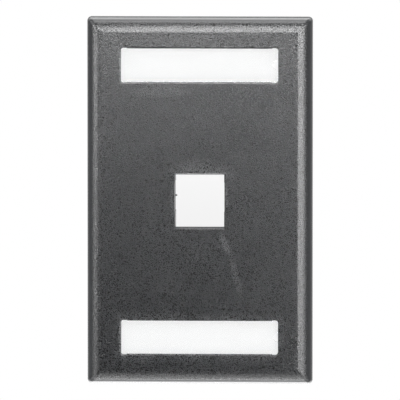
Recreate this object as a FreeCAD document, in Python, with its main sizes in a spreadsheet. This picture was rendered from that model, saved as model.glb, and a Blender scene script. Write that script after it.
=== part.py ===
import FreeCAD, Part
import os
import re
import Sketcher

# Single-gang wall faceplate with one keystone port and two label windows.
# Millimetres. The origin is the middle of the plate on the wall plane, +Z is up, +X is to the right
# of someone facing the plate, and the front faces -Y. A "height" is measured from the wall plane
# towards the front, and a "depth" from the flat front face towards the wall.

os.makedirs("parts", exist_ok=True)
doc = FreeCAD.newDocument("keystone_faceplate")

SIZES = (
    # outline and border
    ("plate_width", 70.0, "outside width at the wall"),
    ("plate_length", 114.3, "outside height at the wall"),
    ("plate_thickness", 6.2, "from the wall plane to the flat front face"),
    ("corner_round", 1.3, "rounding of the mitres at the four corners"),
    ("crease_round", 1.5, "rounding of the crease"),
    ("border_width", 4.5, "from the outside edge in to the crease round the flat face"),
    ("shoulder_width", 2.1, "flat of the shoulder just outside the crease"),
    ("shoulder_drop", 0.6, "fall of the shoulder over its width"),
    ("side_height", 2.9, "height at which the side turns into the border"),
    ("side_inset", 0.03, "how far the side leans in over its height"),
    ("side_round", 3.4, "radius between the side and the border"),
    ("shoulder_round", 4.0, "radius between the border and the shoulder"),
    # hollow back
    ("face_wall", 2.4, "wall behind the flat face"),
    ("rim_wall", 2.0, "rim that bears on the wall"),
    ("back_corner_radius", 1.5, "inside corners of the hollow back"),
    ("back_taper", 2.0, "degrees of mould taper inside the rim"),
    # label windows
    ("screw_spacing", 83.34, "between the two box screws"),
    ("window_offset", 0.66, "window centre beyond the screw, away from the port"),
    ("window_length", 48.8, "window opening along the plate's width"),
    ("window_height", 10.85, "window opening at its ends"),
    ("window_grip", 0.18, "how far each long edge of the window steps in"),
    ("window_grip_end", 1.9, "from the window's end to that step"),
    ("window_radius", 0.8, "window corners"),
    ("ease_width", 0.45, "gentle fall of the face towards a window, across"),
    ("ease_drop", 0.12, "gentle fall of the face towards a window, in depth"),
    # screw wells behind the windows
    ("ledge_end", 2.4, "ledge that carries the label at each end of a window"),
    ("head_gap", 0.3, "well's long edge clear of the screw head"),
    ("well_radius", 1.0, "well corners"),
    ("well_floor_height", 2.2, "height of the well's floor, where the screw head seats"),
    ("well_floor_wall", 1.6, "floor thickness"),
    ("well_wall", 1.3, "side wall of the tub that holds the well"),
    ("screw_hole_radius", 2.0, "screw hole through the well's floor"),
    # keystone port
    ("port_width", 15.3, "clear width of the port"),
    ("port_height", 16.7, "clear height of the port"),
    ("port_chamfer", 0.4, "bevel round the port's mouth"),
    ("port_depth", 10.0, "from the flat face to the back of the port's frame"),
    ("frame_wall", 1.6, "wall of the frame behind the face"),
    ("frame_radius", 0.8, "outside corners of the frame"),
    ("hook_depth", 1.4, "pocket below the lip that the jack's foot hooks into"),
    ("hook_length", 3.4, "that pocket from front to back"),
    ("hook_ramp", 0.9, "fall of the ramp behind the hook pocket"),
    ("latch_rise", 2.2, "room above the clear height for the jack's latch"),
    ("catch_drop", 1.2, "how far the catch hangs into that room"),
    ("catch_length", 2.2, "catch from front to back"),
    ("catch_ramp", 0.7, "lead-in slope under the catch, towards the wall"),
    ("relief_depth", 0.1, "shallow relief in each side of the port"),
    ("relief_height", 9.2, "that relief from top to bottom"),
    ("relief_rise", 1.3, "middle of the relief above the middle of the port"),
    ("nib_height", 0.4, "moulded nib on the port's left wall"),
    ("nib_reach", 0.35, "how far the nib stands into the port"),
    ("nib_rise", 1.2, "nib above the middle of the port"),
    ("nib_length", 1.2, "nib from front to back, at the frame's back edge"),
    # covers and labels
    ("cover_gap", 0.1, "gap round a cover in its window"),
    ("cover_thickness", 1.3, "clear cover"),
    ("cover_break", 0.15, "broken edge round the front of a cover"),
    ("notch_radius", 1.45, "half-round pry notch at a cover's right end"),
    ("label_gap", 0.05, "between a cover and its label"),
    ("label_thickness", 0.2, "paper label"),
    ("label_clearance", 0.05, "gap round a label in its window"),
    # screws
    ("head_radius", 3.3, "pan head"),
    ("head_height", 2.1, "pan head"),
    ("head_crown", 0.9, "height of the head's rounded rim"),
    ("slot_width", 1.1, "screwdriver slot"),
    ("slot_depth", 1.1, "screwdriver slot"),
    ("neck_radius", 1.4, "plain neck that holds the screw in its hole"),
    ("neck_run", 0.3, "neck left showing behind the floor"),
    ("thread_radius", 1.75, "outside of the screw's thread"),
    ("screw_length", 25.4, "under the head"),
    ("screw_point", 0.6, "chamfer at the screw's end"),
    # for cuts that run out past a face
    ("overrun", 1.0, "how far a through cut runs past the faces that it opens"),
)

sheet = doc.addObject("Spreadsheet::Sheet", "Sizes")
for row, (alias, number, meaning) in enumerate(SIZES, start=1):
    sheet.set(f"A{row}", alias)
    sheet.set(f"B{row}", str(number))
    sheet.set(f"C{row}", meaning)
    sheet.setAlias(f"B{row}", alias)
doc.recompute()


# ---------------------------------------------------------------- drawing and cutting

ALIASES = {alias for alias, _, _ in SIZES}


def value(text):
    """A size, or a sum of sizes, as a number."""
    return float(sheet.evalExpression(text))


def bind(thing, prop, text):
    """Tie a property to a size, or a sum of sizes, of the sheet."""
    named = re.sub(r"[a-z_]+", lambda word: f"Sizes.{word[0]}" if word[0] in ALIASES else word[0], text)
    thing.setExpression(prop, named)


def new_body(label, rise="0"):
    """A named sub-part whose own middle stands at a given place up the plate."""
    made = doc.addObject("PartDesign::Body", label)
    made.Label = label
    bind(made, "Placement.Base.z", rise)
    return made


def origin_part(owner, role):
    return next(feature for feature in owner.Origin.OriginFeatures if feature.Role == role)


def new_sketch(owner, role, name, lift="0"):
    """A sketch on one of the body's origin planes, lifted along that plane's normal."""
    drawn = owner.newObject("Sketcher::SketchObject", name)
    drawn.AttachmentSupport = [(origin_part(owner, role), "")]
    drawn.MapMode = "FlatFace"
    bind(drawn, "AttachmentOffset.Base.z", lift)
    return drawn


def dimension(sketch, name, text, kind, *geometry):
    """A dimension of the sketch, tied to the sheet."""
    index = sketch.addConstraint(Sketcher.Constraint(kind, *geometry, value(text)))
    sketch.renameConstraint(index, name)
    bind(sketch, f"Constraints.{name}", text)


def outline(sketch, corners, rounds=None):
    """A closed outline. A corner is a pair of sizes, and rounds gives the radius at some corners."""
    points = [FreeCAD.Vector(value(across), value(up), 0) for across, up in corners]
    first = sketch.GeometryCount
    count = len(points)
    for i in range(count):
        sketch.addGeometry(Part.LineSegment(points[i], points[(i + 1) % count]))
    for i in range(count):
        sketch.addConstraint(Sketcher.Constraint("Coincident", first + i, 2, first + (i + 1) % count, 1))
    for i, (across, up) in enumerate(corners):
        dimension(sketch, f"across{first + i}", across, "DistanceX", -1, 1, first + i, 1)
        dimension(sketch, f"up{first + i}", up, "DistanceY", -1, 1, first + i, 1)
    for corner, radius in (rounds or {}).items():
        arc = sketch.GeometryCount
        sketch.fillet(first + corner, 1, value(radius), True, True)
        dimension(sketch, f"round{arc}", radius, "Radius", arc)


def rectangle(sketch, length, height, radius=None, middle=("0", "0")):
    """A rectangle about its middle, with its four corners rounded alike if a radius is given."""
    signs = (("-", "-"), ("+", "-"), ("+", "+"), ("-", "+"))
    corners = [(f"{middle[0]} {a} ({length}) / 2", f"{middle[1]} {b} ({height}) / 2") for a, b in signs]
    outline(sketch, corners, dict.fromkeys(range(4), radius) if radius else None)


def circle(sketch, radius, middle=("0", "0")):
    centre = FreeCAD.Vector(value(middle[0]), value(middle[1]), 0)
    ring = sketch.addGeometry(Part.Circle(centre, FreeCAD.Vector(0, 0, 1), value(radius)))
    dimension(sketch, f"across{ring}", middle[0], "DistanceX", -1, 1, ring, 3)
    dimension(sketch, f"up{ring}", middle[1], "DistanceY", -1, 1, ring, 3)
    dimension(sketch, f"round{ring}", radius, "Radius", ring)


def pad(owner, sketch, name, length):
    """Raise the sketch towards its plane's normal."""
    made = owner.newObject("PartDesign::Pad", name)
    made.Profile = sketch
    bind(made, "Length", length)
    doc.recompute()


def pocket(owner, sketch, name, length, sides="One side", along_normal=False, taper=None):
    """Cut the sketch out of the body, and make sure that it removed something."""
    before = owner.Shape.Volume
    made = owner.newObject("PartDesign::Pocket", name)
    made.Profile = sketch
    made.SideType = sides
    made.Reversed = along_normal
    bind(made, "Length", length)
    if taper:
        bind(made, "TaperAngle", taper)
    doc.recompute()
    if owner.Shape.Volume >= before:
        raise ValueError(f"{name} removed nothing")
    return made


def mirror(owner, feature, role, name):
    """The same feature again on the other side of an origin plane."""
    made = owner.newObject("PartDesign::Mirrored", name)
    made.Originals = [feature]
    made.MirrorPlane = (origin_part(owner, role), [""])
    owner.Tip = made
    doc.recompute()


def ease_edges(owner, kind, name, size, wanted):
    """Chamfer or fillet the edges of the body whose every end and middle passes the test."""
    base = owner.Tip
    names = []
    for number, edge in enumerate(base.Shape.Edges, start=1):
        middle = edge.valueAt((edge.FirstParameter + edge.LastParameter) / 2)
        if all(wanted(point) for point in [middle, *(vertex.Point for vertex in edge.Vertexes)]):
            names.append(f"Edge{number}")
    made = owner.newObject(f"PartDesign::{kind}", name)
    made.Base = (base, names)
    bind(made, "Size" if kind == "Chamfer" else "Radius", size)
    doc.recompute()


# ---------------------------------------------------------------- places that several pieces share

WINDOW_RISE = "(screw_spacing / 2 + window_offset)"
LEDGE_DEPTH = "(cover_thickness + label_gap + label_thickness)"
WELL_LENGTH = "(window_length - 2 * ledge_end)"
WELL_HEIGHT = "(2 * (window_offset + head_radius + head_gap))"
FLOOR_BACK = "(well_floor_height - well_floor_wall)"
FRONT = value("plate_thickness")
HAIR = 1e-4     # points this near each other are the same


def window_outline(sketch, inset="0", middle="0"):
    """The label window: a long slot whose long edges step in a little between its ends."""
    end = f"(window_length / 2 - {inset})"
    edge = f"(window_height / 2 - {inset})"
    grip = f"(window_height / 2 - window_grip - {inset})"
    step = f"(window_length / 2 - window_grip_end + {inset})"
    lower = [(f"-{end}", edge), (f"-{step}", edge), (f"-{step}", grip),
             (step, grip), (step, edge), (end, edge)]
    corners = [(across, f"{middle} - {up}") for across, up in lower]
    corners += [(across, f"{middle} + {up}") for across, up in reversed(lower)]
    outline(sketch, corners, dict.fromkeys((0, 5, 6, 11), f"window_radius - {inset}"))


# ---------------------------------------------------------------- faceplate moulding

def border_profile(half):
    """Section of what is cut away outside the border, as pairs of place across and height."""
    crease = f"{half} - border_width"
    return [(half, "0"),
            (f"{half} - side_inset", "side_height"),
            (f"{crease} + shoulder_width", "plate_thickness - shoulder_drop"),
            (crease, "plate_thickness"),
            (crease, "plate_thickness + overrun"),
            (f"{half} + overrun", "plate_thickness + overrun"),
            (f"{half} + overrun", "0")]


BORDER_ROUNDS = {1: "side_round", 2: "shoulder_round"}


def cut_border(plate):
    """The border's section runs along all four sides, so its corners come out mitred."""
    side = new_sketch(plate, "XY_Plane", "side_border_section")
    outline(side, [(across, f"-({up})") for across, up in border_profile("plate_width / 2")], BORDER_ROUNDS)
    right = pocket(plate, side, "right_border", "plate_length + 2 * overrun", "Symmetric")
    mirror(plate, right, "YZ_Plane", "left_border")
    end = new_sketch(plate, "YZ_Plane", "end_border_section")
    outline(end, [(f"-({up})", across) for across, up in border_profile("plate_length / 2")], BORDER_ROUNDS)
    top = pocket(plate, end, "top_border", "plate_width + 2 * overrun", "Symmetric")
    mirror(plate, top, "XY_Plane", "bottom_border")
    ease_edges(plate, "Fillet", "rounded_mitres", "corner_round", on_mitre)
    ease_edges(plate, "Fillet", "rounded_crease", "crease_round", on_crease)


def on_crease(point):
    """True for a point on the crease round the flat face."""
    from_side = value("plate_width / 2") - abs(point.x)
    from_end = value("plate_length / 2") - abs(point.z)
    return abs(point.y + FRONT) < HAIR and min(from_side, from_end) > value("border_width") - HAIR


def on_mitre(point):
    """True for a point on one of the four mitres, as far from the plate's end as from its side."""
    from_side = value("plate_width / 2") - abs(point.x)
    from_end = value("plate_length / 2") - abs(point.z)
    return abs(from_side - from_end) < HAIR


def hollow_back(plate):
    """The moulding is a shell: a flat face with a rim that bears on the wall."""
    inside = new_sketch(plate, "XZ_Plane", "hollow_outline")
    rectangle(inside, "plate_width - 2 * rim_wall", "plate_length - 2 * rim_wall", "back_corner_radius")
    pocket(plate, inside, "hollow", "plate_thickness - face_wall", along_normal=True, taper="-back_taper")


def add_windows(plate):
    """Two label windows, each over a tub that hides a plate screw."""
    places = (f"-{WINDOW_RISE}", WINDOW_RISE)
    tubs = new_sketch(plate, "XZ_Plane", "tub_outlines", FLOOR_BACK)
    windows = new_sketch(plate, "XZ_Plane", "window_outlines", "plate_thickness")
    eases = new_sketch(plate, "XZ_Plane", "window_ease_outlines", "plate_thickness")
    wells = new_sketch(plate, "XZ_Plane", "well_outlines", "plate_thickness")
    holes = new_sketch(plate, "XZ_Plane", "screw_holes", "plate_thickness")
    for place in places:
        rectangle(tubs, f"{WELL_LENGTH} + 2 * well_wall", f"{WELL_HEIGHT} + 2 * well_wall",
                  "well_radius + well_wall", ("0", place))
        window_outline(windows, middle=place)
        window_outline(eases, "(-ease_width)", place)
        rectangle(wells, WELL_LENGTH, WELL_HEIGHT, "well_radius", ("0", place))
    for place in ("-screw_spacing / 2", "screw_spacing / 2"):
        circle(holes, "screw_hole_radius", ("0", place))
    pad(plate, tubs, "tubs", f"plate_thickness - face_wall - {FLOOR_BACK}")
    pocket(plate, windows, "windows", LEDGE_DEPTH)
    pocket(plate, wells, "wells", "plate_thickness - well_floor_height")
    pocket(plate, holes, "holes", "plate_thickness + overrun")
    pocket(plate, eases, "window_eases", "ease_drop", taper="-atan(ease_width / ease_drop)")


def port_section():
    """Section of the port as pairs of place from the wall and height: the lip that a jack's foot
    hooks under, the pocket and ramp behind it, and the room and catch for the latch above."""
    def behind(depth):
        return f"{depth} - plate_thickness"
    bottom, top = "(-port_height / 2)", "(port_height / 2)"
    roof = f"{top} + latch_rise"
    return [(behind("-overrun"), bottom),
            (behind("face_wall"), bottom),
            (behind("face_wall"), f"{bottom} - hook_depth"),
            (behind("face_wall + hook_length"), f"{bottom} - hook_depth"),
            (behind("face_wall + hook_length"), bottom),
            (behind("port_depth"), f"{bottom} - hook_ramp"),
            (behind("port_depth + overrun"), f"{bottom} - hook_ramp"),
            (behind("port_depth + overrun"), f"{roof} - catch_drop + catch_ramp"),
            (behind("port_depth"), f"{roof} - catch_drop + catch_ramp"),
            (behind("port_depth - catch_length"), f"{roof} - catch_drop"),
            (behind("port_depth - catch_length"), roof),
            (behind("face_wall"), roof),
            (behind("face_wall"), top),
            (behind("-overrun"), top)]


def add_port(plate):
    """The keystone port and the frame behind it."""
    frame = new_sketch(plate, "XZ_Plane", "frame_outline", "plate_thickness - port_depth")
    rectangle(frame, "port_width + 2 * frame_wall",
              "port_height + hook_depth + latch_rise + 2 * frame_wall", "frame_radius",
              ("0", "(latch_rise - hook_depth) / 2"))
    pad(plate, frame, "frame", "port_depth - face_wall")
    section = new_sketch(plate, "YZ_Plane", "port_section")
    outline(section, port_section())
    pocket(plate, section, "port", "port_width", "Symmetric")
    ease_edges(plate, "Chamfer", "port_mouth", "port_chamfer",
               lambda point: abs(point.y + FRONT) < HAIR and abs(point.x) < value("port_width / 2") + HAIR
               and abs(point.z) < value("port_height / 2") + HAIR)
    reliefs = new_sketch(plate, "XZ_Plane", "relief_outlines", "plate_thickness")
    for side in ("-port_width / 2", "port_width / 2"):
        rectangle(reliefs, "2 * relief_depth", "relief_height", middle=(side, "relief_rise"))
    pocket(plate, reliefs, "reliefs", "port_depth + overrun")
    nib = new_sketch(plate, "XZ_Plane", "nib_outline", "plate_thickness - port_depth")
    rectangle(nib, "2 * nib_reach", "nib_height", middle=("-port_width / 2", "nib_rise"))
    pad(plate, nib, "nib", "nib_length")


faceplate = new_body("faceplate")
slab = new_sketch(faceplate, "XZ_Plane", "slab_outline")
rectangle(slab, "plate_width", "plate_length")
pad(faceplate, slab, "slab", "plate_thickness")
cut_border(faceplate)
hollow_back(faceplate)
add_windows(faceplate)
add_port(faceplate)


# ---------------------------------------------------------------- covers and labels

def cover(label, rise):
    """A clear cover pressed into a window, with a half-round notch to prise it out by."""
    made = new_body(label, rise)
    lens = new_sketch(made, "XZ_Plane", "cover_outline", "plate_thickness - cover_thickness")
    window_outline(lens, "cover_gap")
    pad(made, lens, "lens", "cover_thickness")
    notch = new_sketch(made, "XZ_Plane", "notch_outline", "plate_thickness")
    circle(notch, "notch_radius", ("window_length / 2 - cover_gap", "0"))
    pocket(made, notch, "notch", "cover_thickness + overrun")
    ease_edges(made, "Chamfer", "front_edges", "cover_break", lambda point: abs(point.y + FRONT) < HAIR)


def paper(label, rise):
    """A paper label lying on the ledge round the well, under the cover."""
    made = new_body(label, rise)
    sheet_edge = new_sketch(made, "XZ_Plane", "label_outline", f"plate_thickness - {LEDGE_DEPTH}")
    window_outline(sheet_edge, "label_clearance")
    pad(made, sheet_edge, "strip", "label_thickness")


# ---------------------------------------------------------------- plate screws

def screw(label, rise):
    """A slotted pan-head screw. A plain neck lets it turn in the plate without dropping out."""
    made = new_body(label, rise)
    seat = "-well_floor_height"
    top = f"{seat} - head_height"
    thread_start = f"neck_run - {FLOOR_BACK}"
    tip = f"{seat} + screw_length"
    section = new_sketch(made, "XY_Plane", "screw_section")
    outline(section,
            [("0", top),
             ("head_radius", top),
             ("head_radius", seat),
             ("neck_radius", seat),
             ("neck_radius", thread_start),
             ("thread_radius", thread_start),
             ("thread_radius", f"{tip} - screw_point"),
             ("thread_radius - screw_point", tip),
             ("0", tip)],
            {1: "head_crown"})
    turned = made.newObject("PartDesign::Revolution", "turned")
    turned.Profile = section
    turned.ReferenceAxis = (origin_part(made, "Y_Axis"), [""])
    turned.Angle = 360
    doc.recompute()
    slot = new_sketch(made, "XZ_Plane", "slot_outline", "well_floor_height + head_height")
    rectangle(slot, "2 * (head_radius + overrun)", "slot_width")
    pocket(made, slot, "slot", "slot_depth")


for position, side in (("upper", ""), ("lower", "-")):
    cover(f"{position}_label_cover", f"{side}{WINDOW_RISE}")
    paper(f"{position}_label", f"{side}{WINDOW_RISE}")
    screw(f"{position}_screw", f"{side}screw_spacing / 2")


# ---------------------------------------------------------------- check and write

doc.recompute()
failed = [f"{thing.Label}: {thing.State}" for thing in doc.Objects
          if "Invalid" in thing.State or "Error" in thing.State]
if failed:
    raise ValueError(f"features failed: {failed}")
bodies = [thing for thing in doc.Objects if thing.TypeId == "PartDesign::Body"]
for made in bodies:
    if made.Shape.isNull() or not made.Shape.isValid() or len(made.Shape.Solids) != 1:
        raise ValueError(f"{made.Label} isn't one valid solid")
for made in bodies:
    made.Shape.exportStep(f"parts/{made.Label}.step")
    size = made.Shape.BoundBox
    print(f"{made.Label:20s} {made.Shape.Volume:9.1f} mm3  "
          f"{size.XLength:.2f} x {size.YLength:.2f} x {size.ZLength:.2f} mm")
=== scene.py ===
import math

import bpy
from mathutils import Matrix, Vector


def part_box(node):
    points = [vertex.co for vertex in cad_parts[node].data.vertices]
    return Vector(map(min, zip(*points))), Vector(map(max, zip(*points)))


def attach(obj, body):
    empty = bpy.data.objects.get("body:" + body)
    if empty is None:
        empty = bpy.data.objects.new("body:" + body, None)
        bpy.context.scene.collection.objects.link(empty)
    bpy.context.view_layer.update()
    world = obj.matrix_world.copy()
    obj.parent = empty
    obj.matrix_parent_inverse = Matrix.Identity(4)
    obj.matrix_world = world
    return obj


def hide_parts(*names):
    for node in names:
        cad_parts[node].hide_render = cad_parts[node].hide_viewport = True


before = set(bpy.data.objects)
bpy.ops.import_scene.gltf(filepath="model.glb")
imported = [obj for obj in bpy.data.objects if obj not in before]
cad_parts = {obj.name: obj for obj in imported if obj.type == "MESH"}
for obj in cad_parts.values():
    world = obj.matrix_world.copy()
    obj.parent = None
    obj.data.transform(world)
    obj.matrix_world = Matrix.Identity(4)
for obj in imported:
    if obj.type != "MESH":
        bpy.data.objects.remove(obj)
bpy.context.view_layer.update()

MM = 0.001

# ---------------------------------------------------------------- places on the plate

plate_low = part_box("faceplate")[0]
FRONT = plate_low.y
PORT_HALF = (7.65 * MM, 8.35 * MM)      # half the port's width and height
COVERS = {which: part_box(f"{which}_label_cover") for which in ("upper", "lower")}


# ---------------------------------------------------------------- material nodes

class Finish:
    """A material's node tree, with short ways to add the nodes that the finishes share."""

    def __init__(self, name):
        self.material = bpy.data.materials.new(name)
        self.material.use_nodes = True
        self.tree = self.material.node_tree
        self.shader = self.tree.nodes["Principled BSDF"]

    def node(self, kind, **settings):
        made = self.tree.nodes.new(kind)
        for key, setting in settings.items():
            setattr(made, key, setting)
        return made

    def plug(self, value, socket):
        """Set a socket to a number or vector, or link another node's socket to it."""
        if isinstance(value, bpy.types.NodeSocket):
            self.tree.links.new(value, socket)
        else:
            socket.default_value = value

    def math(self, operation, *values):
        made = self.node("ShaderNodeMath", operation=operation)
        for value, socket in zip(values, made.inputs):
            self.plug(value, socket)
        return made.outputs[0]

    def vector(self, operation, *values):
        made = self.node("ShaderNodeVectorMath", operation=operation)
        for value, socket in zip(values, made.inputs):
            self.plug(value, socket)
        return made.outputs["Value" if operation == "LENGTH" else "Vector"]

    def position(self):
        return self.node("ShaderNodeTexCoord").outputs["Object"]

    def placed(self, location=(0, 0, 0), rotation=(0, 0, 0), scale=(1, 1, 1)):
        """Object coordinates turned and scaled about a place on the piece."""
        made = self.node("ShaderNodeMapping", vector_type="TEXTURE")
        self.plug(self.position(), made.inputs["Vector"])
        made.inputs["Location"].default_value = location
        made.inputs["Rotation"].default_value = rotation
        made.inputs["Scale"].default_value = scale
        return made.outputs["Vector"]

    def noise(self, size, detail=2.0, vector=None):
        """Noise whose blobs are about size across, in metres."""
        made = self.node("ShaderNodeTexNoise")
        self.plug(vector or self.position(), made.inputs["Vector"])
        made.inputs["Scale"].default_value = 1 / size
        made.inputs["Detail"].default_value = detail
        return made.outputs["Fac"]

    def fade(self, value, start, end, low=0.0, high=1.0):
        """A smooth step of value from low at start to high at end."""
        made = self.node("ShaderNodeMapRange", interpolation_type="SMOOTHSTEP")
        for key, setting in (("Value", value), ("From Min", start), ("From Max", end),
                             ("To Min", low), ("To Max", high)):
            self.plug(setting, made.inputs[key])
        return made.outputs["Result"]

    def blend(self, factor, first, second):
        made = self.node("ShaderNodeMix", data_type="RGBA")
        self.plug(factor, made.inputs["Factor"])
        self.plug(first, made.inputs["A"])
        self.plug(second, made.inputs["B"])
        return made.outputs["Result"]

    def bump(self, height, distance):
        made = self.node("ShaderNodeBump")
        self.plug(height, made.inputs["Height"])
        made.inputs["Distance"].default_value = distance
        return made.outputs["Normal"]

    def set(self, **values):
        """Set the principled shader's sockets, named with _ for a space."""
        for key, value in values.items():
            self.plug(value, self.shader.inputs[key.replace("_", " ")])


def distance_outside(finish, middle, half):
    """How far a point of the flat face lies outside a rectangle on it."""
    off = finish.vector("SUBTRACT", finish.position(), (middle[0], 0, middle[1]))
    off = finish.vector("MULTIPLY", off, (1, 0, 1))
    off = finish.vector("SUBTRACT", finish.vector("ABSOLUTE", off), (half[0], 0, half[1]))
    return finish.vector("LENGTH", finish.vector("MAXIMUM", off, (0, 0, 0)))


def mark(finish, start, end, width, reach):
    """A soft-edged mark between two places on the plate. Places, width and reach are in millimetres,
    and the mark goes no deeper than its reach from the face."""
    (x0, z0), (x1, z1) = start, end
    middle = ((x0 + x1) / 2 * MM, FRONT, (z0 + z1) / 2 * MM)
    half = (math.hypot(x1 - x0, z1 - z0) + width) / 2 * MM
    turn = -math.atan2(z1 - z0, x1 - x0)
    place = finish.placed(middle, (0, turn, 0), (half, reach * MM, width / 2 * MM))
    return finish.fade(finish.vector("LENGTH", place), MARK_CORE, 1.0, 1.0, 0.0)


def marks(finish, places, reach):
    """One mask for each place in a list of marks."""
    return [finish.math("MULTIPLY", mark(finish, start, end, width, reach), strength)
            for start, end, width, strength in places]


def together(finish, operation, masks):
    """Several masks joined by one operation: MAXIMUM for the strongest, MULTIPLY for the product."""
    whole = masks[0]
    for mask in masks[1:]:
        whole = finish.math(operation, whole, mask)
    return whole


# ---------------------------------------------------------------- moulded charcoal plastic

CHARCOAL = (0.0500, 0.0520, 0.0553, 1)
# Painted glare: a lighter tone round the bright label windows, standing in for their glow.
GLARE_TINT = (0.0930, 0.0960, 0.1000, 1)
# Lighter tone of the real scratches, nicks and flow-line streak, also used for the painted glare round
# the port.
GLARE_AND_WEAR = (0.120, 0.123, 0.127, 1)
ROUGHNESS = (0.22, 0.26)                # from the plainest patch to the cloudiest
GRAIN = 0.25 * MM                       # size of the leather grain
GRAIN_DEPTH = 0.135 * MM
GRAIN_SLANT = math.radians(30)
GRAIN_SHAPE = (1.5, 1, 0.95)            # longer one way than the other
PITS = (0.44, 0.56)                     # of the grain's height, from the pits' floor to their rim
PIT_SHADE = (0.04, 0.04, 0.04)          # painted shade in the grain's pits: what is left of the colour there
PORT_EDGE = (0.1 * MM, 0.4 * MM)        # outside the port, where the grain comes in
BORDER_FALL = (0.6 * MM, 2.6 * MM)      # behind the face, where the grain dies away
FACE_WALL = 2.4 * MM
PATCH = 7 * MM                          # size of the cloudy patches
SWELL, SWELL_HEIGHT = 1.1 * MM, 0.18    # of the waves under the grain, in shares of its height
TOOLING, TOOLING_HEIGHT = 0.5 * MM, 0.06        # of the mould's tool marks behind the face
SCRATCH_DEPTH = 0.15                    # in shares of the grain's height too
SCRATCH_BREAKS = 1.1 * MM               # size of the gaps in a scratch
WINDOW_GLARE = {"upper": 0.25, "lower": 1.0}     # strength of the painted glare, a lighter halo round the bright label windows
GLARE_REACH = (0.3 * MM, 3.4 * MM)
MARK_CORE = 0.3                         # share of a mark's half width that is at full strength
MARK_REACH, NICK_REACH = 2.0, 8.0       # depth from the face, in millimetres
# Start, end, width and strength of each mark. Places are in millimetres from the middle of the plate.
# The first four are painted glare, a lighter halo round the port and below the upper window; the last
# two are a real lighter flow-line streak from the port's lower-right corner.
GLARE_AND_STREAKS = (((-6.5, 8.8), (8.0, 8.8), 11.0, 0.85),
        ((-8.1, 8.0), (-8.1, -7.5), 2.4, 0.5),
        ((8.4, 6.0), (8.7, -3.6), 0.9, 0.8),
        ((-23.0, 34.4), (-2.0, 34.2), 5.0, 0.45),
        ((6.3, -9.6), (9.8, -17.0), 3.0, 0.75),
        ((9.0, -14.5), (13.4, -31.0), 3.2, 0.6))
SCRATCHES = (((-18.6, -48.6), (-16.2, -52.0), 0.35, 0.5),
             ((1.4, -48.8), (2.6, -50.0), 0.35, 0.4),
             ((2.6, -50.0), (3.9, -53.0), 0.35, 0.5),
             ((22.6, -48.6), (21.6, -52.3), 0.35, 0.4),
             ((-27.9, -17.8), (-25.6, -20.6), 0.4, 0.4),
             ((-26.4, -18.6), (-24.2, -21.2), 0.3, 0.3),
             ((12.4, 15.6), (14.2, 14.6), 0.4, 0.4))
NICKS = (((-34.4, 44.5), (-34.3, 43.9), 0.5, 0.9),
         ((32.6, 37.9), (32.9, 37.3), 0.45, 0.9),
         ((32.8, -48.4), (33.0, -48.9), 0.45, 0.9))


def moulded_charcoal():
    """Charcoal plastic: leather grain on the face with painted shade in its pits, smooth border and
    port, a few marks of use, a flow-line streak, and painted glare round the port and label windows.
    """
    finish = Finish("moulded_charcoal")
    parts = finish.node("ShaderNodeSeparateXYZ")
    finish.plug(finish.position(), parts.inputs[0])
    depth = finish.math("SUBTRACT", parts.outputs["Y"], FRONT)
    port = distance_outside(finish, (0, 0), PORT_HALF)
    textured = finish.math("MULTIPLY", finish.fade(port, *PORT_EDGE),
                           finish.fade(depth, *BORDER_FALL, 1.0, 0.0))
    patchy = finish.noise(PATCH)
    glare_halos = []
    # Painted glare: a lighter halo round each label window, fading out from its edge.
    for which, strength in WINDOW_GLARE.items():
        low, high = COVERS[which]
        window = distance_outside(finish, (0, (low.z + high.z) / 2), (high.x, (high.z - low.z) / 2))
        glare_halos.append(finish.fade(window, *GLARE_REACH, strength, 0.0))
    painted_glare = together(finish, "MULTIPLY", [together(finish, "MAXIMUM", glare_halos), textured,
                                         finish.fade(patchy, 0.25, 0.65, 0.4, 1.0)])
    # Painted glare round the port and below the upper window, and a real flow-line streak.
    glare_and_streak = together(finish, "MAXIMUM", marks(finish, GLARE_AND_STREAKS, MARK_REACH))
    broken = finish.fade(finish.noise(SCRATCH_BREAKS, detail=1), 0.3, 0.6, 0.3, 1.0)
    scratched = marks(finish, SCRATCHES, MARK_REACH) + marks(finish, NICKS, NICK_REACH)
    scratched = finish.math("MULTIPLY", together(finish, "MAXIMUM", scratched), broken)
    slanted = finish.placed(rotation=(0, GRAIN_SLANT, 0), scale=GRAIN_SHAPE)
    grain = finish.noise(GRAIN, detail=1, vector=slanted)
    colour = finish.blend(painted_glare, CHARCOAL, GLARE_TINT)
    colour = finish.blend(finish.math("MAXIMUM", glare_and_streak, scratched), colour, GLARE_AND_WEAR)
    # Painted shade: the grain's pits are darkened in colour, standing in for the shadow in them.
    shaded_pits = finish.math("MULTIPLY", finish.fade(grain, *PITS, 1.0, 0.0), textured)
    colour = finish.blend(shaded_pits, colour, finish.vector("MULTIPLY", colour, PIT_SHADE))

    swell = finish.math("MULTIPLY", finish.noise(SWELL, detail=1), SWELL_HEIGHT)
    tooled = finish.math("MULTIPLY", finish.noise(TOOLING, vector=finish.placed(scale=(20, 1, 1))),
                         finish.fade(depth, 0.8 * FACE_WALL, FACE_WALL, 0.0, TOOLING_HEIGHT))
    height = finish.math("MULTIPLY", textured, finish.math("ADD", grain, swell))
    height = finish.math("ADD", height, tooled)
    height = finish.math("SUBTRACT", height, finish.math("MULTIPLY", scratched, SCRATCH_DEPTH))
    finish.set(Base_Color=colour, Roughness=finish.fade(patchy, 0.3, 0.7, *ROUGHNESS), IOR=1.58,
               Normal=finish.bump(height, GRAIN_DEPTH))
    return finish.material


# ---------------------------------------------------------------- clear covers and labels

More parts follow.
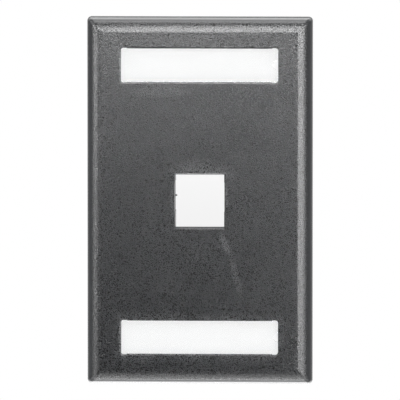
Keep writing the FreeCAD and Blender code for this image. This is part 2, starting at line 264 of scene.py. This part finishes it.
def clear_plastic():
    """Clear moulded cover. Lamps reach the label through it."""
    finish = Finish("clear_plastic")
    finish.set(Base_Color=(1, 1, 1, 1), Roughness=0.02, IOR=1.5, Transmission_Weight=1.0)
    path = finish.node("ShaderNodeLightPath")
    through = finish.node("ShaderNodeBsdfTransparent")
    mixed = finish.node("ShaderNodeMixShader")
    passing = finish.math("MAXIMUM", path.outputs["Is Shadow Ray"], path.outputs["Is Diffuse Ray"])
    finish.plug(passing, mixed.inputs[0])
    finish.plug(finish.shader.outputs[0], mixed.inputs[1])
    finish.plug(through.outputs[0], mixed.inputs[2])
    finish.plug(mixed.outputs[0], finish.tree.nodes["Material Output"].inputs["Surface"])
    return finish.material


def label_paper():
    """Blank white label paper."""
    finish = Finish("label_paper")
    fibre = finish.noise(0.2 * MM, detail=3)
    finish.set(Base_Color=finish.blend(fibre, (0.93, 0.935, 0.935, 1), (0.97, 0.975, 0.975, 1)),
               Roughness=0.9, IOR=1.4, Normal=finish.bump(fibre, 0.01 * MM))
    return finish.material


# ---------------------------------------------------------------- plate screws

PITCH = 0.794 * MM                      # 32 threads to the inch
THREAD_RADIUS = 1.75 * MM
THREAD_DEPTH = 0.49 * MM
THREAD_ROOT = 0.88 * PITCH              # width of the ridge at the core
THREAD_CREST = PITCH / 7                # and at its top
THREAD_STEPS = 32                       # faces round one turn
HEAD_HEIGHT = 2.1 * MM
HEAD_CROWN = 0.9 * MM
SLOT = (1.1 * MM, 1.1 * MM)             # width and depth
NECK_RADIUS = 1.4 * MM
NECK_LENGTH = 1.9 * MM
POINT = 0.6 * MM
OVERLAP = 0.1 * MM                      # of the screw's parts, where one goes into the next
NEAR = 0.01 * MM                        # for picking edges by their place


def zinc_plate():
    """Bright zinc on steel, with a faint cloudiness."""
    finish = Finish("zinc_plate")
    cloud = finish.noise(1.2 * MM, detail=4)
    finish.set(Base_Color=finish.blend(cloud, (0.52, 0.52, 0.51, 1), (0.68, 0.68, 0.66, 1)),
               Metallic=1.0, Roughness=finish.fade(cloud, 0.3, 0.7, 0.25, 0.42))
    return finish.material


def deselect():
    if bpy.context.object and bpy.context.object.mode == "EDIT":
        bpy.ops.object.mode_set(mode="OBJECT")
    bpy.ops.object.select_all(action="DESELECT")


def apply_place():
    bpy.ops.object.transform_apply(location=True, rotation=True, scale=True)


def pick_edges(wanted):
    """In edit mode, select the edges whose two ends pass the test."""
    bpy.ops.mesh.select_mode(type="EDGE")
    bpy.ops.mesh.select_all(action="DESELECT")
    bpy.ops.object.mode_set(mode="OBJECT")
    mesh = bpy.context.object.data
    for edge in mesh.edges:
        edge.select = all(wanted(mesh.vertices[i].co) for i in edge.vertices)
    bpy.ops.object.mode_set(mode="EDIT")


def rod(name, radius, start, end, sides=48):
    """A closed cylinder along the screw's axis, left as the active piece."""
    deselect()
    bpy.ops.mesh.primitive_cylinder_add(vertices=sides, radius=radius, depth=end - start,
                                        location=(0, (start + end) / 2, 0),
                                        rotation=(math.radians(90), 0, 0))
    made = bpy.context.object
    made.name = name
    apply_place()
    return made


def screw_head(name, radius, top, seat):
    """Pan head with a rounded rim and a screwdriver slot."""
    head = rod(name, radius, top, seat, sides=64)
    bpy.ops.object.mode_set(mode="EDIT")
    pick_edges(lambda corner: corner.y < top + NEAR and corner.xz.length > radius - NEAR)
    bpy.ops.mesh.bevel(offset=HEAD_CROWN, segments=8, profile=0.5, affect="EDGES")
    bpy.ops.object.mode_set(mode="OBJECT")
    deselect()
    width, depth = SLOT
    bpy.ops.mesh.primitive_cube_add(size=1, location=(0, top, 0), scale=(4 * radius, 2 * depth, width))
    cutter = bpy.context.object
    deselect()
    bpy.context.view_layer.objects.active = head
    head.select_set(True)
    cut = head.modifiers.new("slot", "BOOLEAN")
    cut.operation = "DIFFERENCE"
    cut.object = cutter
    bpy.ops.object.modifier_apply(modifier=cut.name)
    bpy.data.objects.remove(cutter)
    return head


def screw_core(start, end):
    """The threaded stretch without its ridge, with a chamfered point."""
    core = rod("core", THREAD_RADIUS - THREAD_DEPTH, start, end)
    bpy.ops.object.mode_set(mode="EDIT")
    pick_edges(lambda corner: corner.y > end - NEAR)
    bpy.ops.mesh.bevel(offset=POINT / 2, segments=1, affect="EDGES")
    bpy.ops.object.mode_set(mode="OBJECT")
    return core


def screw_ridge(start, end):
    """The thread's ridge, a blunt wedge wound round the core."""
    inner = THREAD_RADIUS - THREAD_DEPTH - OVERLAP / 2
    middle = start + THREAD_ROOT / 2
    deselect()
    bpy.ops.mesh.primitive_plane_add(size=1, location=((inner + THREAD_RADIUS) / 2, middle, 0))
    ridge = bpy.context.object
    ridge.scale = (THREAD_RADIUS - inner, THREAD_ROOT, 1)
    apply_place()
    bpy.ops.object.mode_set(mode="EDIT")
    pick_edges(lambda corner: corner.x > THREAD_RADIUS - NEAR)
    bpy.ops.transform.resize(value=(1, THREAD_CREST / THREAD_ROOT, 1),
                             center_override=(THREAD_RADIUS, middle, 0))
    bpy.ops.mesh.select_all(action="SELECT")
    bpy.ops.mesh.delete(type="ONLY_FACE")
    bpy.ops.object.mode_set(mode="OBJECT")
    wind = ridge.modifiers.new("wind", "SCREW")
    wind.axis = "Y"
    wind.screw_offset = PITCH
    wind.iterations = int((end - start) / PITCH) - 1
    wind.steps = wind.render_steps = THREAD_STEPS
    wind.use_merge_vertices = False
    bpy.ops.object.modifier_apply(modifier=wind.name)
    bpy.ops.object.mode_set(mode="EDIT")
    bpy.ops.mesh.select_mode(type="EDGE")
    bpy.ops.mesh.select_all(action="DESELECT")
    bpy.ops.mesh.select_non_manifold()
    bpy.ops.mesh.edge_face_add()
    bpy.ops.mesh.select_all(action="SELECT")
    bpy.ops.mesh.normals_make_consistent(inside=False)
    bpy.ops.object.mode_set(mode="OBJECT")
    return ridge


def threaded_screw(name):
    """One screw with its head, neck and thread, on the plate's middle line."""
    low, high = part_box("upper_screw")
    seat = low.y + HEAD_HEIGHT
    thread_start = seat + NECK_LENGTH
    head = screw_head(name, high.x, low.y, seat)
    neck = rod("neck", NECK_RADIUS, seat - OVERLAP, thread_start + OVERLAP)
    core = screw_core(thread_start, high.y)
    ridge = screw_ridge(thread_start, high.y - POINT)
    deselect()
    for part in (neck, core, ridge, head):
        part.select_set(True)
    bpy.context.view_layer.objects.active = head
    bpy.ops.object.join()
    bpy.ops.object.shade_smooth_by_angle(angle=math.radians(35))
    return head


def shift_up(distance):
    bpy.ops.transform.translate(value=(0, 0, distance))
    apply_place()


def plate_screws(finish):
    """Both threaded screws, in place of their plain solids. The lower one is a copy of the upper."""
    upper_height, lower_height = ((low.z + high.z) / 2
                                  for low, high in (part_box("upper_screw"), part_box("lower_screw")))
    upper = threaded_screw("threaded_upper_screw")
    upper.data.materials.clear()
    upper.data.materials.append(finish)
    shift_up(upper_height)
    bpy.ops.object.duplicate(linked=False)
    lower = bpy.context.object
    lower.name = "threaded_lower_screw"
    shift_up(lower_height - upper_height)
    for screw, node in ((upper, "upper_screw"), (lower, "lower_screw")):
        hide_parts(node)
        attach(screw, "plate")


# ---------------------------------------------------------------- dressing the pieces

def dress(node, material):
    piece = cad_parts[node]
    piece.data.materials.clear()
    piece.data.materials.append(material)


dress("faceplate", moulded_charcoal())
clear, label = clear_plastic(), label_paper()
for which in ("upper", "lower"):
    dress(f"{which}_label_cover", clear)
    dress(f"{which}_label", label)
plate_screws(zinc_plate())


# ---------------------------------------------------------------- floor

FLOOR_SIZE = 4
FLOOR_DROP = 0.25                       # below the plate's lower edge
FLOOR_LIFT = 0.52                       # what the floor lacks of white to the eye


def floor():
    """A plain pale floor below the plate. It is white where nothing shades it."""
    deselect()
    bpy.ops.mesh.primitive_plane_add(size=FLOOR_SIZE, location=(0, 0, plate_low.z - FLOOR_DROP))
    made = bpy.context.object
    made.name = "floor"
    finish = Finish("pale_floor")
    path = finish.node("ShaderNodeLightPath")
    seen = finish.math("MAXIMUM", path.outputs["Is Camera Ray"], path.outputs["Is Transmission Ray"])
    finish.set(Base_Color=(0.85, 0.85, 0.85, 1), Roughness=0.9, Emission_Color=(1, 1, 1, 1),
               Emission_Strength=finish.math("MULTIPLY", seen, FLOOR_LIFT))
    made.data.materials.append(finish.material)
    made.visible_glossy = False


floor()


# ---------------------------------------------------------------- camera

AZIMUTH, ELEVATION = math.radians(2.3), math.radians(5.0)
DISTANCE = 2.5
VIEW_WIDTH = 0.1240                     # seen across the view at the plate's face
SENSOR = 36
CLIP = (0.01, 20)

aim = Vector((0.18 * MM, FRONT, 0.49 * MM))
towards_camera = Vector((math.sin(AZIMUTH) * math.cos(ELEVATION),
                         -math.cos(AZIMUTH) * math.cos(ELEVATION),
                         math.sin(ELEVATION)))
camera = bpy.data.objects.new("camera", bpy.data.cameras.new("camera"))
bpy.context.collection.objects.link(camera)
camera.data.sensor_width = SENSOR
camera.data.lens = SENSOR * DISTANCE / VIEW_WIDTH
camera.location = aim + towards_camera * DISTANCE
camera.rotation_mode = "QUATERNION"
camera.rotation_quaternion = (-towards_camera).to_track_quat("-Z", "Y")
camera.data.clip_start, camera.data.clip_end = CLIP
bpy.context.scene.camera = camera


# ---------------------------------------------------------------- light

def softbox(name, middle, size, turn, radiance, gloss):
    """A soft box turned about X from facing down. One kind only glosses the plate, and the other
    only gives plain light."""
    lamp = bpy.data.lights.new(name, "AREA")
    lamp.shape = "RECTANGLE"
    lamp.size, lamp.size_y = size
    lamp.energy = math.pi * lamp.size * lamp.size_y * radiance
    held = bpy.data.objects.new(name, lamp)
    bpy.context.collection.objects.link(held)
    held.location = middle
    held.rotation_euler = (math.radians(turn), 0, 0)
    held.visible_diffuse = not gloss
    held.visible_glossy = held.visible_transmission = gloss


softbox("middle_top_gloss", (0, -0.20, 0.115), (0.16, 0.05), 90, 12.0, gloss=True)
softbox("high_top_gloss", (0, -0.12, 0.14), (0.12, 0.06), 90, 20.0, gloss=True)
softbox("inner_left_gloss", (-0.085, -0.20, 0.07), (0.03, 0.14), 90, 5.0, gloss=True)
softbox("outer_left_gloss", (-0.225, -0.12, 0.08), (0.07, 0.14), 90, 25.0, gloss=True)
softbox("upper_right_gloss", (0.165, -0.20, 0.09), (0.05, 0.14), 90, 40.0, gloss=True)
softbox("lower_right_gloss", (0.165, -0.20, -0.05), (0.05, 0.14), 90, 20.0, gloss=True)
softbox("front_fill", (0, -1.6, 0), (0.5, 0.5), 90, 19.0, gloss=False)
softbox("overhead_fill", (0, 0, 1.3), (1.6, 1.6), 0, 0.8, gloss=False)

AMBIENT = 0.3                           # plain light from all round
SHADE = 0.068                           # of the backdrop seen through the port, at the port's top
SHADE_GAIN = 0.045                      # how much deeper it is at the port's bottom
SHADE_MOST = 0.2
SHADE_REACH = 0.006                     # of the shaded patch, about the line from the camera
SHADE_HALF = 8 * MM                     # half the height that the shade deepens over
SHADE_TOP = math.sin(-ELEVATION) + SHADE_HALF / DISTANCE
SHADE_SLOPE = -SHADE_GAIN / (2 * SHADE_HALF / DISTANCE)
# Soft strips of light round the room, which only reflections see. Each has its middle and its reach in
# degrees from straight before the plate, and its brightness. The room grows white straight behind.
STRIPS = {"top": ((115, 30, 7.0),),
          "bottom": ((75, 15, 7.0), (130, 30, 8.0)),
          "left": ((75, 15, 5.0),),
          "right": ((60, 15, 8.0),)}


def shaded_backdrop(tree, calc, facing, up):
    """White all round, with a faint shade on the backdrop where the camera looks through the port."""
    off = tree.nodes.new("ShaderNodeVectorMath")
    off.operation = "DISTANCE"
    tree.links.new(facing, off.inputs[0])
    off.inputs[1].default_value = -towards_camera
    inside = calc("LESS_THAN", off.outputs["Value"], SHADE_REACH)
    depth = calc("MULTIPLY", calc("SUBTRACT", up, SHADE_TOP), SHADE_SLOPE)
    shade = calc("MINIMUM", calc("MAXIMUM", calc("ADD", SHADE, depth), 0), SHADE_MOST)
    return calc("SUBTRACT", 1.0, calc("MULTIPLY", inside, shade))


def room():
    """The world: white to the eye, even to plain light, and strips of light to reflections."""
    world = bpy.data.worlds.new("room")
    bpy.context.scene.world = world
    world.use_nodes = True
    tree = world.node_tree

    def calc(operation, first, second=0.0):
        made = tree.nodes.new("ShaderNodeMath")
        made.operation = operation
        for value, socket in zip((first, second), made.inputs):
            if isinstance(value, bpy.types.NodeSocket):
                tree.links.new(value, socket)
            else:
                socket.default_value = value
        return made.outputs[0]

    facing = tree.nodes.new("ShaderNodeTexCoord").outputs["Generated"]
    parts = tree.nodes.new("ShaderNodeSeparateXYZ")
    tree.links.new(facing, parts.inputs[0])
    across, ahead, up = parts.outputs
    turn = calc("DIVIDE", calc("ARCCOSINE", calc("MULTIPLY", ahead, -1)), math.pi)
    spread = calc("ADD", calc("MULTIPLY", across, across), calc("MULTIPLY", up, up))
    spread = calc("MAXIMUM", spread, 1e-6)
    seen = 0.0
    for side, (axis, sign) in {"top": (up, 1), "bottom": (up, -1),
                               "left": (across, -1), "right": (across, 1)}.items():
        towards = calc("MAXIMUM", calc("MULTIPLY", axis, sign), 0)
        share = calc("DIVIDE", calc("MULTIPLY", towards, towards), spread)
        ramp = tree.nodes.new("ShaderNodeValToRGB")
        tree.links.new(turn, ramp.inputs[0])
        stops = ramp.color_ramp.elements
        levels = [(0, 0.0)]
        for middle, reach, level in STRIPS[side]:
            levels += [(middle - reach, 0.0), (middle, level), (middle + reach, 0.0)]
        levels.append((180, 1.0))
        while len(stops) < len(levels):
            stops.new(0.5)
        for stop, (angle, level) in zip(stops, levels):
            stop.position = angle / 180
            stop.color = (level, level, level, 1)
        seen = calc("ADD", seen, calc("MULTIPLY", share, ramp.outputs["Color"]))
    path = tree.nodes.new("ShaderNodeLightPath").outputs
    gloss = calc("MULTIPLY", path["Is Glossy Ray"], seen)
    plain = calc("MULTIPLY", path["Is Diffuse Ray"], AMBIENT)
    others = calc("SUBTRACT", 1.0, calc("MAXIMUM", path["Is Glossy Ray"], path["Is Diffuse Ray"]))
    behind = calc("MULTIPLY", others, shaded_backdrop(tree, calc, facing, up))
    level = calc("ADD", calc("ADD", gloss, plain), behind)
    tree.links.new(level, tree.nodes["Background"].inputs["Color"])


room()
bpy.context.scene.view_settings.view_transform = "Standard"
